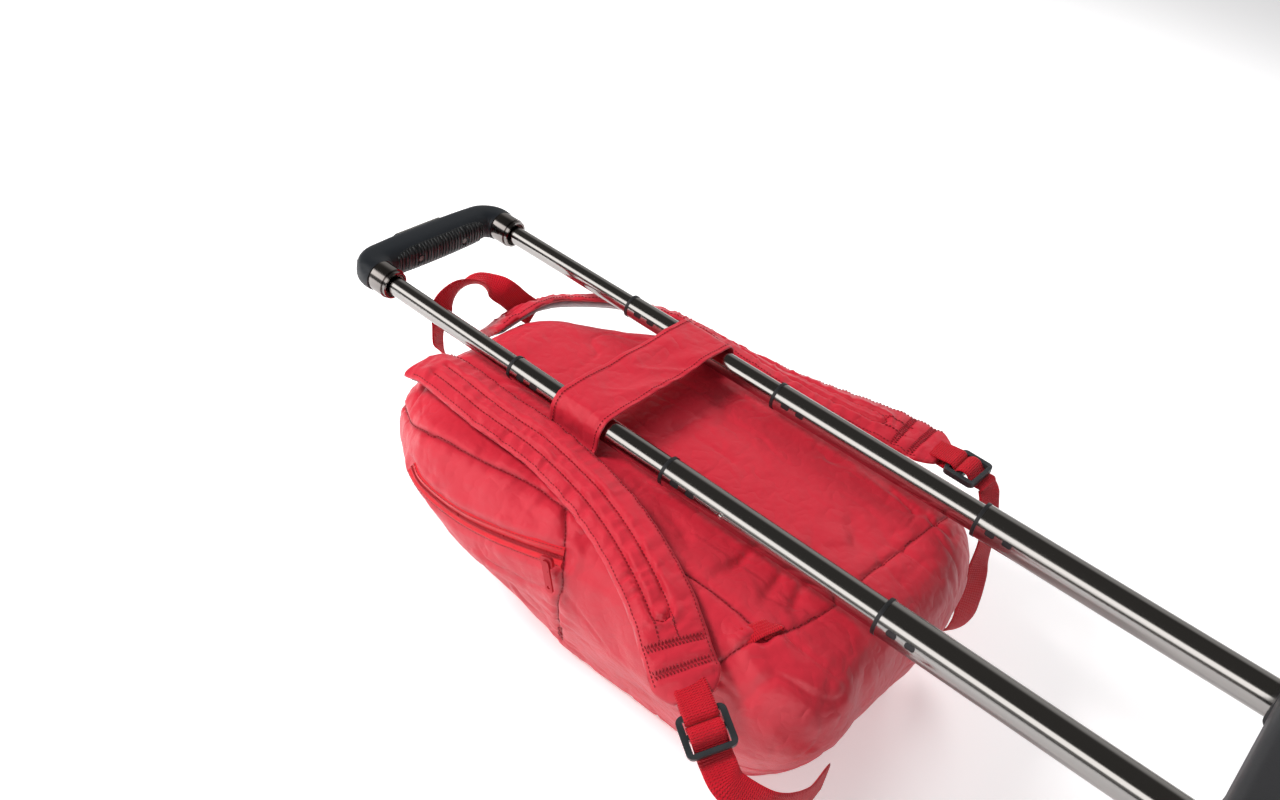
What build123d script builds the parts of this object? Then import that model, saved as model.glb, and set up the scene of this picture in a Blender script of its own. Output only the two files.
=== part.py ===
"""Wheeled backpack carried on a four-stage telescopic trolley handle.

Rest pose: the bag lies on its front, the handle is pulled out and level above
the back panel.  X runs across the bag, +Y along the tubes towards the grip and
+Z is up from the floor.  The origin is on the floor, midway between the two
tubes.  Millimetres throughout.
"""
import os
from math import cos, radians, sin

from build123d import *

# ---------------------------------------------------------------- dimensions
TUBE_SPACING = 150.0        # centre to centre of the two handle tubes
TUBE_X = TUBE_SPACING / 2
TUBE_Z = 178.0              # height of the tube axes above the floor
WALL = 1.1                  # tube wall
RUN = 0.10                  # radial running clearance in the bushes
STAGE_R = [8.5, 10.2, 12.0, 14.5]         # outer radii, inner stage first
STAGE_TOP = [348.0, 163.0, -3.0, -200.0]  # Y of each stage's upper end
TUBE_FOOT = -485.0          # lower end of the outer tubes, in the base
LAP = 60.0                  # length of each tube held inside the next one
BUSH_LONG = 40.0
GUIDE_LONG = 14.0
RING_LONG = 3.0
RING_PROUD = 0.4
WINDOW = (8.0, 5.0)         # latch window, along and across the tube
WINDOW_DROP = (12.0, 27.0)  # window centres below the end of their tube

COLLAR_Y = 315.0            # lower face of the grip collars
COLLAR_R = 14.0
GRIP_Y = 353.0              # centre line of the grip's cross bar
GRIP_DEEP = 36.0            # cross bar, along Y
GRIP_THICK = 28.0           # cross bar, along Z
BUTTON_TRAVEL = 4.0

BAG_LEFT, BAG_RIGHT = -182.0, 140.0
BAG_FOOT, BAG_TOP = -220.0, 247.0
BAG_THICK = 154.0           # floor to the top of the gusset
PANEL_TOP = TUBE_Z - 16.5   # top of the padded back panel
BAND_Y = (59.0, 111.0)      # the pass-through band covers this stretch
BAND_THICK = 1.6
BAND_CLEAR = 13.2           # inside of the band from the tube axis
WEBBING = 25.0
WEB_THICK = 1.8

AXLE_Y, AXLE_Z = -465.0, TUBE_Z + 33.0
AXLE_R = 4.0
WHEEL_R, HUB_R = 33.0, 23.0
WHEEL_X = (98.0, 120.0)     # inner and outer face of a wheel
TOE_Y = -490.0              # face of the toe plate that the bag can stand on

os.makedirs("parts", exist_ok=True)


def save(name, shape):
    export_step(shape, f"parts/{name}.step")


def both_sides(make):
    """The same piece on the left and on the right tube, as one group."""
    return Compound(children=[make(-TUBE_X), make(TUBE_X)])


def rod(radius, x, y0, y1, z=TUBE_Z):
    """A round bar along Y."""
    return Pos(x, (y0 + y1) / 2, z) * Rot(90, 0, 0) * Cylinder(radius, y1 - y0)


def pipe(outer, inner, x, y0, y1, z=TUBE_Z):
    return rod(outer, x, y0, y1, z) - rod(inner, x, y0 - 1, y1 + 1, z)


def cross_rod(radius, x0, x1, y, z):
    """A round bar along X."""
    return Pos((x0 + x1) / 2, y, z) * Rot(0, 90, 0) * Cylinder(radius, x1 - x0)


def block(x0, x1, y0, y1, z0, z1):
    middle = ((x0 + x1) / 2, (y0 + y1) / 2, (z0 + z1) / 2)
    return Pos(*middle) * Box(x1 - x0, y1 - y0, z1 - z0)


# ------------------------------------------------------------- handle tubes
def bore(stage):
    """Inner radius of a stage's tube, counted from 1 at the grip."""
    return STAGE_R[stage - 1] - WALL


def windows(x, top):
    """Two latch windows in the outer-left wall, below the tube's end."""
    cuts = []
    for drop in WINDOW_DROP:
        hole = Box(30, WINDOW[0], WINDOW[1])
        hole = fillet(hole.edges().filter_by(Axis.X), 1.8)
        cuts.append(Pos(x, top - drop, TUBE_Z) * Rot(0, 12, 0) * Pos(-15, 0, 0) * hole)
    return cuts


BALL_R = 1.0
BALL_Y = STAGE_TOP[2] - 57.0


def ball(radius):
    """Detent ball, set a little proud of the third stage's left tube."""
    place = Pos(-TUBE_X, BALL_Y, TUBE_Z) * Rot(0, 12, 0) * Pos(-STAGE_R[2] - 0.2, 0, 0)
    return place * Sphere(radius)


def tube(stage, x):
    top = STAGE_TOP[stage - 1]
    foot = TUBE_FOOT if stage == 4 else STAGE_TOP[stage] - LAP
    body = pipe(STAGE_R[stage - 1], bore(stage), x, foot, top)
    if stage > 1:
        for cut in windows(x, top):
            body -= cut
    if stage == 3 and x < 0:
        body -= ball(BALL_R)
    return body


def ball_groove(x, top):
    """Groove down the inside of a bush, where the detent ball runs."""
    groove = Box(2.0, BUSH_LONG + 10, 2 * BALL_R + 0.8)
    return Pos(x, top - BUSH_LONG / 2, TUBE_Z) * Rot(0, 12, 0) * Pos(-STAGE_R[2] - 0.4, 0, 0) * groove


def bush(stage, x):
    """Plastic bush in the top of a tube: a sleeve, a visible lip and two lugs."""
    top = STAGE_TOP[stage - 1]
    slide = STAGE_R[stage - 2] + RUN
    lip = STAGE_R[stage - 1] + RING_PROUD
    body = rod(bore(stage), x, top - BUSH_LONG, top)
    body += rod(lip, x, top, top + RING_LONG)
    skin = rod(STAGE_R[stage - 1] - 0.3, x, top - BUSH_LONG, top)
    for cut in windows(x, top):
        body += cut & skin
    if stage == 4 and x < 0:
        body -= ball_groove(x, top)
    return body - rod(slide, x, top - BUSH_LONG - 1, top + RING_LONG + 1)


def guide(stage, x):
    """Sleeve pressed on a tube's lower end, running inside the next tube."""
    foot = STAGE_TOP[stage] - LAP
    return pipe(bore(stage + 1) - RUN, STAGE_R[stage - 1], x, foot, foot + GUIDE_LONG)


for number in (1, 2, 3, 4):
    for side, x in (("left", -TUBE_X), ("right", TUBE_X)):
        save(f"stage{number}_tube_{side}", tube(number, x))
    if number > 1:
        save(f"stage{number}_bushes", both_sides(lambda x: bush(number, x)))
    if number < 4:
        save(f"stage{number}_guides", both_sides(lambda x: guide(number, x)))

# Spring ball in the wall of the third stage's left tube.
save("stage3_ball", ball(BALL_R))


# --------------------------------------------------------------------- grip
COLLAR_LONG = 20.0
GRIP_FOOT = COLLAR_Y + COLLAR_LONG      # also the inner face of the cross bar
SHOULDER_R = 17.0
BEND_R = 32.0               # outer bend of each shoulder
grip_top = GRIP_Y + GRIP_DEEP / 2
grip_low = GRIP_Y - GRIP_DEEP / 2
half_out = TUBE_X + SHOULDER_R


def rounded_outline(corners):
    """Closed outline through (x, y, radius) corners."""
    points = [(x, y) for x, y, _ in corners]
    return make_face(FilletPolyline(*points, radius=[r for _, _, r in corners], close=True))


def grip_blank():
    """Round-shouldered outline of the grip, its long edges rounded all round."""
    outline = rounded_outline([(-half_out, grip_low, 4), (-half_out, grip_top, BEND_R),
                               (half_out, grip_top, BEND_R), (half_out, grip_low, 4)])
    blank = extrude(outline, GRIP_THICK / 2, both=True)
    rims = blank.edges().group_by(Axis.Z)
    return Pos(0, 0, TUBE_Z) * fillet(rims[0] + rims[-1], 9.0)


RIB_LONG, RIB_DEEP = 104.0, 3.0
PLATE_LONG, PLATE_HIGH, PLATE_THICK = 62.0, 16.0, 1.6
BUTTON_LONG, BUTTON_HIGH = 30.0, 10.0
YOKE_Y = GRIP_Y + 4.0

rib_room = block(-RIB_LONG / 2, RIB_LONG / 2, grip_low - 1, grip_low + RIB_DEEP,
                 TUBE_Z - 11, TUBE_Z + 11)
plate_room = block(-PLATE_LONG / 2, PLATE_LONG / 2, grip_top - PLATE_THICK, grip_top + 1,
                   TUBE_Z - PLATE_HIGH / 2, TUBE_Z + PLATE_HIGH / 2)
button_hole = block(-BUTTON_LONG / 2 - 0.3, BUTTON_LONG / 2 + 0.3, YOKE_Y, grip_top + 5,
                    TUBE_Z - BUTTON_HIGH / 2 - 0.3, TUBE_Z + BUTTON_HIGH / 2 + 0.3)
yoke_room = block(-TUBE_X - 6, TUBE_X + 6, YOKE_Y - 5 - BUTTON_TRAVEL, YOKE_Y + 5,
                  TUBE_Z - 6, TUBE_Z + 6)
tube_rooms = both_sides(lambda x: rod(STAGE_R[0], x, GRIP_FOOT - 1, STAGE_TOP[0]))
rod_rooms = both_sides(lambda x: rod(3.0, x, GRIP_FOOT, YOKE_Y))
spring_room = block(-5, 5, YOKE_Y - 19, YOKE_Y - 4, TUBE_Z - 5, TUBE_Z + 5)
SCREW_X = 27.0
SCREW_R = 2.6


def grip_screws():
    heads = [rod(SCREW_R, x, grip_low - 0.2, grip_low + RIB_DEEP + 6) for x in (-SCREW_X, SCREW_X)]
    return Compound(children=heads)


shell = grip_blank() - rib_room - plate_room - button_hole - yoke_room
shell = shell - tube_rooms - rod_rooms - spring_room - grip_screws()
save("grip_shell", shell)

insert = block(-RIB_LONG / 2, RIB_LONG / 2, grip_low + 0.6, grip_low + RIB_DEEP,
               TUBE_Z - 11, TUBE_Z + 11)
RIBS = 26
rib_pitch = (RIB_LONG - 8) / RIBS
for number in range(RIBS):
    x = -RIB_LONG / 2 + 4 + rib_pitch * (number + 0.5)
    insert += block(x - rib_pitch / 4, x + rib_pitch / 4, grip_low - 1.0, grip_low + 0.6,
                    TUBE_Z - 9.5, TUBE_Z + 9.5)
save("grip_ribs", insert - grip_screws())
save("grip_screws", grip_screws())

plate = block(-PLATE_LONG / 2, PLATE_LONG / 2, grip_top - PLATE_THICK, grip_top + 0.4,
              TUBE_Z - PLATE_HIGH / 2, TUBE_Z + PLATE_HIGH / 2)
plate = fillet(plate.edges().filter_by(Axis.Y), 6.0)
save("trim_plate", plate - button_hole)


def collar(x):
    """Gunmetal collar with a stepped lower lip and a recess round the tube."""
    body = rod(COLLAR_R, x, COLLAR_Y + 4, GRIP_FOOT) + rod(COLLAR_R - 1.2, x, COLLAR_Y, COLLAR_Y + 4)
    body -= rod(STAGE_R[0] + 2.6, x, COLLAR_Y - 1, COLLAR_Y + 5)
    body -= rod(STAGE_R[0], x, COLLAR_Y - 1, GRIP_FOOT + 1)
    return body - collar_screw(x)


def collar_screw(x):
    """Set screw through the top of a collar, down to the tube's wall."""
    low, high = TUBE_Z + STAGE_R[0], TUBE_Z + COLLAR_R - 0.6
    return Pos(x, COLLAR_Y + 13, (low + high) / 2) * Cylinder(2.2, high - low)


save("collar_left", collar(-TUBE_X))
save("collar_right", collar(TUBE_X))
save("collar_screws", both_sides(collar_screw))

# The release: a button, the yoke behind it and a pull rod down each tube.
button = block(-BUTTON_LONG / 2, BUTTON_LONG / 2, YOKE_Y + 4, grip_top + 4.6,
               TUBE_Z - BUTTON_HIGH / 2, TUBE_Z + BUTTON_HIGH / 2)
button = fillet(button.edges().filter_by(Axis.Y), 4.8)
button = fillet(button.edges().group_by(Axis.Y)[-1], 2.0)
save("push_button", button)
save("release_yoke", block(-TUBE_X - 5, TUBE_X + 5, YOKE_Y - 4, YOKE_Y + 4, TUBE_Z - 5, TUBE_Z + 5))
ROD_FOOT = STAGE_TOP[1] - LAP + 8
save("pull_rods", both_sides(lambda x: rod(2.4, x, ROD_FOOT, YOKE_Y - 4)))
save("button_spring", pipe(4.0, 3.0, 0, YOKE_Y - 14, YOKE_Y - 4))


# --------------------------------------------------------------------- base
HOUSING_X = 93.0
housing = block(-HOUSING_X, HOUSING_X, TUBE_FOOT, TUBE_FOOT + 52, TUBE_Z - 13, TUBE_Z + 46)
housing = fillet(housing.edges().filter_by(Axis.X), 9.0)
housing -= both_sides(lambda x: rod(STAGE_R[3], x, TUBE_FOOT - 1, TUBE_FOOT + 60))
# The bores break through the underside, so the bag can pass below the base.
housing -= cross_rod(AXLE_R, -HOUSING_X - 1, HOUSING_X + 1, AXLE_Y, AXLE_Z)
housing -= block(-HOUSING_X + 36, HOUSING_X - 36, TUBE_FOOT + 8, TUBE_FOOT + 60,
                 TUBE_Z - 20, TUBE_Z + 20)
SCREW_SPOTS = [(x, z) for x in (-45.0, 45.0) for z in (TUBE_Z - 4, TUBE_Z + 33)]


def toe_screw(x, z):
    shank = rod(2.5, x, TOE_Y, TUBE_FOOT + 7, z)
    return shank + rod(4.5, x, TOE_Y - 8.0, TOE_Y, z)


toe_screws = Compound(children=[toe_screw(x, z) for x, z in SCREW_SPOTS])
TOE_THICK = 7.0
TOE_HALF = 84.0
TOE_FOOT = 7.0
toe = block(-TOE_HALF, TOE_HALF, TOE_Y - TOE_THICK, TOE_Y, TOE_FOOT, TUBE_Z + 42)
toe = fillet(toe.edges().filter_by(Axis.Y), 14.0)
# A flange joins the plate to the back of the housing.
flange = block(-TOE_HALF + 4, TOE_HALF - 4, TOE_Y, TUBE_FOOT, TUBE_Z - 12, TUBE_Z + 40)
toe = toe + flange
for x in (-48.0, 0.0, 48.0):
    slot = block(x - 12, x + 12, TOE_Y - 20, TOE_Y + 20, 34, TUBE_Z - 44)
    toe -= fillet(slot.edges().filter_by(Axis.Y), 10.0)
save("base_housing", housing - toe_screws)
save("toe_plate", toe - toe_screws)
save("toe_screws", toe_screws)


def toe_pad(x):
    pad = block(x - 16, x + 16, TOE_Y - TOE_THICK - 1.5, TOE_Y + 1.5, 0, 13)
    pad = fillet(pad.edges().filter_by(Axis.X), 1.2)
    return pad - block(x - 20, x + 20, TOE_Y - TOE_THICK, TOE_Y, TOE_FOOT, 20)


save("toe_pads", both_sides(lambda x: toe_pad(x * 0.7)))
save("axle", cross_rod(AXLE_R, -WHEEL_X[1] - 6, WHEEL_X[1] + 6, AXLE_Y, AXLE_Z))


def on_axle(radius, inner, x0, x1):
    body = cross_rod(radius, x0, x1, AXLE_Y, AXLE_Z)
    return body - cross_rod(inner, x0 - 1, x1 + 1, AXLE_Y, AXLE_Z)


def hub(x0, x1):
    """Wheel hub: a rim, a boss and a web with five round holes."""
    body = on_axle(HUB_R, HUB_R - 3.5, x0, x1) + on_axle(8.0, AXLE_R + 0.05, x0, x1)
    middle = (x0 + x1) / 2
    body += on_axle(HUB_R - 3, 7.0, middle - 2.5, middle + 2.5)
    for number in range(5):
        turn = radians(72 * number)
        body -= cross_rod(3.6, x0 - 1, x1 + 1, AXLE_Y + 13.6 * cos(turn), AXLE_Z + 13.6 * sin(turn))
    return body


def tyre(x0, x1):
    ring = on_axle(WHEEL_R, HUB_R, x0, x1)
    return fillet(ring.edges().filter_by(GeomType.CIRCLE).group_by(SortBy.RADIUS)[-1], 4.0)


clips = []
for side, sign in (("left", -1), ("right", 1)):
    ends = sorted((sign * WHEEL_X[0], sign * WHEEL_X[1]))
    save(f"wheel_{side}", hub(*ends))
    save(f"tyre_{side}", tyre(*ends))
    clip = sorted((sign * (WHEEL_X[1] + 0.6), sign * (WHEEL_X[1] + 3.6)))
    clips.append(on_axle(8.5, AXLE_R, *clip))
    spacer = sorted((sign * HOUSING_X, sign * (WHEEL_X[0] - 0.6)))
    clips.append(on_axle(7.0, AXLE_R, *spacer))
save("axle_clips", Compound(children=clips))


# ---------------------------------------------------------------------- bag
OUTLINE = [
    (BAG_LEFT, BAG_FOOT, 60), (BAG_LEFT, 170, 100), (-140, BAG_TOP, 50),
    (30, BAG_TOP, 70), (BAG_RIGHT, 100, 150), (BAG_RIGHT, BAG_FOOT, 55),
]
FLOOR_OUTLINE = [
    (-140, -182, 45), (-142, 30, 100), (-88, 185, 50),
    (15, 195, 60), (105, 80, 110), (105, -182, 45),
]
WALL_FOOT = 100.0           # the sides lean out from the floor up to this height
ROLL_HIGH, ROLL_IN = 12.0, 10.0     # soft turn of the fabric at the floor


def bag_outline():
    """Plan of the bag: each corner of OUTLINE with its own radius."""
    return rounded_outline(OUTLINE)


def bag_solid():
    """The stuffed bag: leaning sides, an upright gusset and rounded rims."""
    floor = rounded_outline(FLOOR_OUTLINE)
    levels = [offset(floor, -ROLL_IN), Pos(0, 0, ROLL_HIGH) * floor, Pos(0, 0, WALL_FOOT) * bag_outline()]
    upper = Pos(0, 0, WALL_FOOT) * extrude(bag_outline(), BAG_THICK - WALL_FOOT)
    upper = fillet(upper.edges().group_by(Axis.Z)[-1], RIM_R)
    return loft(levels, ruled=True) + upper


RIM_R = 32.0
PANEL_INSET = 36.0
bag = bag_solid()
FOOT_SEAM = BAG_FOOT + 44.0     # where the bottom panel meets the gusset
foot_half = block(-300, 300, BAG_FOOT - 50, FOOT_SEAM, -10, 400)
save("bag_body", bag - foot_half)
save("bottom_panel", bag & foot_half)

panel = offset(bag_outline(), -PANEL_INSET)
panel = Pos(0, 0, BAG_THICK) * extrude(panel, PANEL_TOP - BAG_THICK)
save("back_panel", fillet(panel.edges().group_by(Axis.Z)[-1], 5.0))


def band_path():
    """Inside line of the band, from sewn foot to sewn foot, over both tubes."""
    low = PANEL_TOP - TUBE_Z
    left, right = -TUBE_X - BAND_CLEAR, TUBE_X + BAND_CLEAR
    turn = BAND_CLEAR
    return [
        Line((left, low), (left, 0)),
        RadiusArc((left, 0), (-TUBE_X, turn), turn),
        Line((-TUBE_X, turn), (TUBE_X, turn)),
        RadiusArc((TUBE_X, turn), (right, 0), turn),
        Line((right, 0), (right, low)),
    ]


def pass_band():
    """Fabric band sewn to the back panel on both sides of the handle."""
    inside = make_face(Wire(band_path() + [Line((TUBE_X + BAND_CLEAR, PANEL_TOP - TUBE_Z),
                                                (-TUBE_X - BAND_CLEAR, PANEL_TOP - TUBE_Z))]))
    grown = Pos(0, -5) * offset(Pos(0, 5) * inside, BAND_THICK, kind=Kind.ARC)
    skirt = Pos(0, PANEL_TOP - TUBE_Z - 50) * Rectangle(400, 100)
    section = grown - inside - skirt
    for side in (-1, 1):
        foot_x = side * (TUBE_X + BAND_CLEAR + 5)
        section += Pos(foot_x, PANEL_TOP - TUBE_Z + BAND_THICK / 2) * Rectangle(10, BAND_THICK)
    solid = extrude(section, BAND_Y[1] - BAND_Y[0])
    return Pos(0, BAND_Y[1], TUBE_Z) * Rot(90, 0, 0) * solid


save("pass_band", pass_band())


def station_plane(stations, number, lift=0.0):
    """Plane across a strap at one (x, y, z, roll) station; y is its outer normal."""
    x, y, z, roll = stations[number]
    before = stations[max(number - 1, 0)]
    after = stations[min(number + 1, len(stations) - 1)]
    along = (Vector(*after[:3]) - Vector(*before[:3])).normalized()
    across = Vector(0, 0, 1).cross(along).normalized()
    across = across.rotate(Axis((0, 0, 0), along), roll)
    normal = along.cross(across)
    return Plane(origin=Vector(x, y, z) + normal * lift, x_dir=across, z_dir=along)


def ribbon(stations, width, thick, lift=0.0):
    """A flat strap through the stations; lift moves it along its own normal."""
    planes = [station_plane(stations, number, lift) for number in range(len(stations))]
    return loft([plane * Rectangle(width, thick) for plane in planes], ruled=True)


# Stations of the shoulder straps at mid thickness, from the top down.
STRAP_WIDE, STRAP_THICK, MESH_THICK = 50.0, 8.0, 2.0
LEFT_STRAP = [
    (-118, 238, 160, 0), (-124, 212, 169.5, 0), (-126, 143, 170, 2), (-121, 86, 171, 4), (-131, 28, 171, 7),
    (-148, -24, 169.5, 10), (-170, -74, 162, 12), (-193, -112, 153, 16), (-206, -138, 144, 20),
]
RIGHT_STRAP = [
    (48, 258, 122, -72), (74, 240, 126, -66), (114, 184, 140, -58), (131, 110, 148, -50),
    (134, 40, 152, -32), (144, -30, 154, -14), (152, -90, 157, 2), (150, -130, 158, 4),
]
STRAPS = {"left": LEFT_STRAP, "right": RIGHT_STRAP}
for side, stations in STRAPS.items():
    save(f"strap_{side}", ribbon(stations, STRAP_WIDE, STRAP_THICK))
    below = -(STRAP_THICK + MESH_THICK) / 2 - 0.4
    save(f"strap_mesh_{side}", ribbon(stations, STRAP_WIDE - 8, MESH_THICK, below))

# Haul loop: webbing standing out of the bag's top end.
LOOP_X = (-76.0, 26.0)
LOOP_OUT = 40.0
LOOP_Z = PANEL_TOP - 2.0


def loop_outline(inset, radius):
    left, right = LOOP_X[0] + inset, LOOP_X[1] - inset
    top = BAG_TOP + LOOP_OUT - inset
    return rounded_outline([(left, BAG_TOP - 30, 0), (left, top, radius),
                            (right, top, radius), (right, BAG_TOP - 30, 0)])


loop = extrude(loop_outline(0, 24) - loop_outline(WEB_THICK, 24 - WEB_THICK), -WEBBING)
loop = Pos(0, 0, LOOP_Z) * loop
save("haul_loop", loop - block(-200, 200, 0, BAG_TOP + 0.3, 0, 300))

# Ladder-lock buckles, the webbing sewn to each strap end and the lower webbing.
BUCKLE_WIDE, BUCKLE_LONG, BUCKLE_THICK = 36.0, 30.0, 5.0
BAR = 3.6


def strap_end(side, out):
    """Plane a given distance beyond the lower end of a shoulder strap."""
    end = station_plane(STRAPS[side], -1 % len(STRAPS[side]))
    return Plane(origin=end.origin + end.z_dir * out, x_dir=end.x_dir, z_dir=end.z_dir)


def buckle(side):
    body = Box(BUCKLE_WIDE, BUCKLE_THICK, BUCKLE_LONG)
    body = fillet(body.edges().filter_by(Axis.Y), 5.0)
    slot_long = (BUCKLE_LONG - 3 * BAR) / 2
    for sign in (-1, 1):
        body -= Pos(0, 0, sign * (slot_long + BAR) / 2) * Box(WEBBING + 2, 9, slot_long)
    return strap_end(side, BUCKLE_OUT) * body


BUCKLE_OUT = 24.0


def strap_loop(side):
    """Webbing from the strap's end round the first bar of its buckle."""
    first_bar = BUCKLE_OUT - BUCKLE_LONG / 2 + BAR / 2
    reach = first_bar + BAR / 2 + 2.2
    tall = BUCKLE_THICK + 0.6 + 2 * WEB_THICK
    ring = Box(WEBBING, tall, reach - 0.3)
    room = Box(WEBBING + 2, tall - 2 * WEB_THICK, reach - 0.3 - 2 * WEB_THICK)
    return strap_end(side, (reach + 0.3) / 2) * (ring - room)


LOWER_WEBBING = {
    "left": [(-230, -199, 121, 20), (-206, -222, 108, 50), (-166, -230, 96, 80), (-138, -226, 90, 90)],
    "right": [(149, -176, 152, -10), (142, -206, 138, -40), (112, -226, 112, -80),
              (66, -219, 76, -90), (22, -204, 38, -90)],
}
for side in STRAPS:
    save(f"buckle_{side}", buckle(side))
    save(f"strap_loop_{side}", strap_loop(side))
    start = strap_end(side, BUCKLE_OUT + BUCKLE_LONG / 2 + 8.0).origin
    first = (start.X, start.Y, start.Z, LOWER_WEBBING[side][0][3])
    save(f"webbing_{side}", ribbon([first] + LOWER_WEBBING[side][1:], WEBBING, WEB_THICK))


TAB_Y = -140.0


def corner_tab(x, turn):
    """Folded fabric triangle at a lower corner of the back panel."""
    face = make_face(Polyline([(0, 0), (34, 12), (34, -12)], close=True))
    return Pos(x, TAB_Y, PANEL_TOP + 0.2) * Rot(0, 0, turn) * extrude(face, 2.4)


# ---------------------------------------------------------------- zippers
TAPE_HIGH, TAPE_THICK, COIL_HIGH, COIL_THICK = 20.0, 1.2, 5.0, 1.8
TAPE_DEEP = 20.0            # the pocket tape reaches back to the rounded rim
SIDE_ZIP = (8.0, 143.0)     # Y and Z of the pocket zipper's upper end
SIDE_ZIP_LONG, SIDE_ZIP_TURN = 130.0, -20.0
MAIN_ZIP_Z = 111.0
SLIDE_GAP = 0.3


def on_side_zip(shape):
    """Moves a shape drawn along +Y from the origin on to the sloping pocket zipper."""
    return Pos(BAG_LEFT, *SIDE_ZIP) * Rot(SIDE_ZIP_TURN, 0, 0) * shape


def side_zip():
    """Pocket zipper on the bag's left side: tape with a coil down its middle."""
    tape = block(-TAPE_THICK, TAPE_DEEP, 0, SIDE_ZIP_LONG, -TAPE_HIGH / 2, TAPE_HIGH / 2)
    coil = block(-TAPE_THICK - COIL_THICK, -TAPE_THICK, 0, SIDE_ZIP_LONG, -COIL_HIGH / 2, COIL_HIGH / 2)
    return on_side_zip(tape + coil) - bag


def main_zip():
    """Main zipper, round the top half of the gusset."""
    def ring(out, inner, high):
        flat = offset(bag_outline(), out) - (offset(bag_outline(), inner) if inner else bag_outline())
        return Pos(0, 0, MAIN_ZIP_Z - high / 2) * extrude(flat, high)
    chain = ring(TAPE_THICK, 0, TAPE_HIGH) + ring(TAPE_THICK + COIL_THICK, TAPE_THICK, COIL_HIGH)
    return chain - block(-300, 300, -400, -120, -10, 300) - block(-300, -110, -400, 300, -10, 300)


def slider(x, out, y, z):
    """Zipper slider riding on the coil; out is the side it faces."""
    low = x + out * (TAPE_THICK + COIL_THICK + SLIDE_GAP)
    ends = sorted((low, low + out * 2.6))
    body = fillet(block(*ends, y - 6, y + 6, z - 4.5, z + 4.5).edges().filter_by(Axis.X), 2.5)
    return body


def puller(x, out, y, z):
    low = x + out * (TAPE_THICK + COIL_THICK + SLIDE_GAP + 2.8)
    ends = sorted((low, low + out * 1.4))
    body = block(*ends, y - 3.5, y + 3.5, z - 26, z + 2)
    body = fillet(body.edges().filter_by(Axis.X), 2.5)
    return body - Pos(low, y, z - 21) * Rot(0, 90, 0) * Cylinder(1.6, 10)


save("tab_left", corner_tab(-122, 180))
save("tab_right", corner_tab(91, 0))
save("side_zip", side_zip())
save("side_slider", on_side_zip(slider(0, -1, 9, 0)))
save("side_puller", on_side_zip(puller(0, -1, 9, 0)))
save("main_zip", main_zip())
save("main_slider", slider(BAG_RIGHT, 1, -90, MAIN_ZIP_Z))
save("main_puller", puller(BAG_RIGHT, 1, -90, MAIN_ZIP_Z))
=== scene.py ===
"""Looks of the backpack on its telescopic trolley handle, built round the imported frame.

Lengths in the tables below are millimetres in the frame's own axes: +X across the
bag, +Y along the tubes to the grip, +Z up from the floor.
"""
import math

import bmesh
import bpy
import numpy as np
from mathutils import Matrix, Vector
from mathutils.bvhtree import BVHTree


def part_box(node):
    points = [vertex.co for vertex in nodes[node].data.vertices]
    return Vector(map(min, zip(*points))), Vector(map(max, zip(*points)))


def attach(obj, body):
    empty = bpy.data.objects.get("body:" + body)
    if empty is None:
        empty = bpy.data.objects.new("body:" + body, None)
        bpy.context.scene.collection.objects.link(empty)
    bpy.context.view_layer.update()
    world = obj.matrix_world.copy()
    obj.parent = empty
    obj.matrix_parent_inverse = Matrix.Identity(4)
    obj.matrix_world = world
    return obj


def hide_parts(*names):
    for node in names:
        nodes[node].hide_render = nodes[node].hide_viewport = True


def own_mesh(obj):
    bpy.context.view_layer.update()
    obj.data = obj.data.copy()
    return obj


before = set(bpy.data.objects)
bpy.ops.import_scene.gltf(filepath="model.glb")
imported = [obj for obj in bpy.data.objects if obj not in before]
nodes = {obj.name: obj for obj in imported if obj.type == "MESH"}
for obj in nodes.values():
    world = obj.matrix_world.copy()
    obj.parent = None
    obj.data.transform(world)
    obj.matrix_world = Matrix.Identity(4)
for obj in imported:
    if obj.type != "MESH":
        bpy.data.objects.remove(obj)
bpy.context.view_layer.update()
scene = bpy.context.scene
MM = 0.001


# ---- camera
def aim_camera():
    right = Vector((0.63902, -0.75296, 0.15715))
    up = Vector((0.38822, 0.49209, 0.77919))
    back = Vector((-0.66403, -0.43691, 0.60677))
    place = (-0.70258, -0.37500, 0.79697)
    camera = bpy.data.objects.new("camera", bpy.data.cameras.new("camera"))
    camera.data.sensor_width = 36
    camera.data.lens = 34.87
    rows = [(right[i], up[i], back[i], place[i]) for i in range(3)]
    camera.matrix_world = Matrix(rows + [(0, 0, 0, 1)])
    scene.collection.objects.link(camera)
    scene.camera = camera


aim_camera()
scene.view_settings.view_transform = "Standard"


# ---- materials
RIB_BEND = 0.6          # mm that webbing ribs shift at each woven column
RIB_COLUMN = 0.5        # height of the columns against the ribs
WEAVE_SHARE = 0.35      # height of a plain weave against the bump's depth
CRINKLE_SCALE = 42
SEAM_PAINTED_SHADE = 0.25       # brightness left where shade is painted into a sewn groove
EDGE_START, EDGE_GAIN = 0.52, 6.0       # sharpness where wear begins, and how fast it grows
EDGE_SHADE = (2.2, 0.04)                # gain and lift of a worn edge's colour
UNEVEN_GLOSS = 0.25
SHEEN_ROUGH = 0.35
look = {}               # every material, by name


def link(tree, source, target):
    """Join a socket to the target socket, or set the target to a plain value."""
    if isinstance(source, bpy.types.NodeSocket):
        tree.links.new(source, target)
    else:
        target.default_value = source


def add(tree, kind):
    return tree.nodes.new("ShaderNode" + kind)


def math_node(tree, kind, *values, clamp=False):
    node = add(tree, "Math")
    node.operation = kind
    node.use_clamp = clamp
    for value, target in zip(values, node.inputs):
        link(tree, value, target)
    return node.outputs[0]


def plus(tree, a, b, clamp=False):
    return math_node(tree, "ADD", a, b, clamp=clamp)


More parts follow.
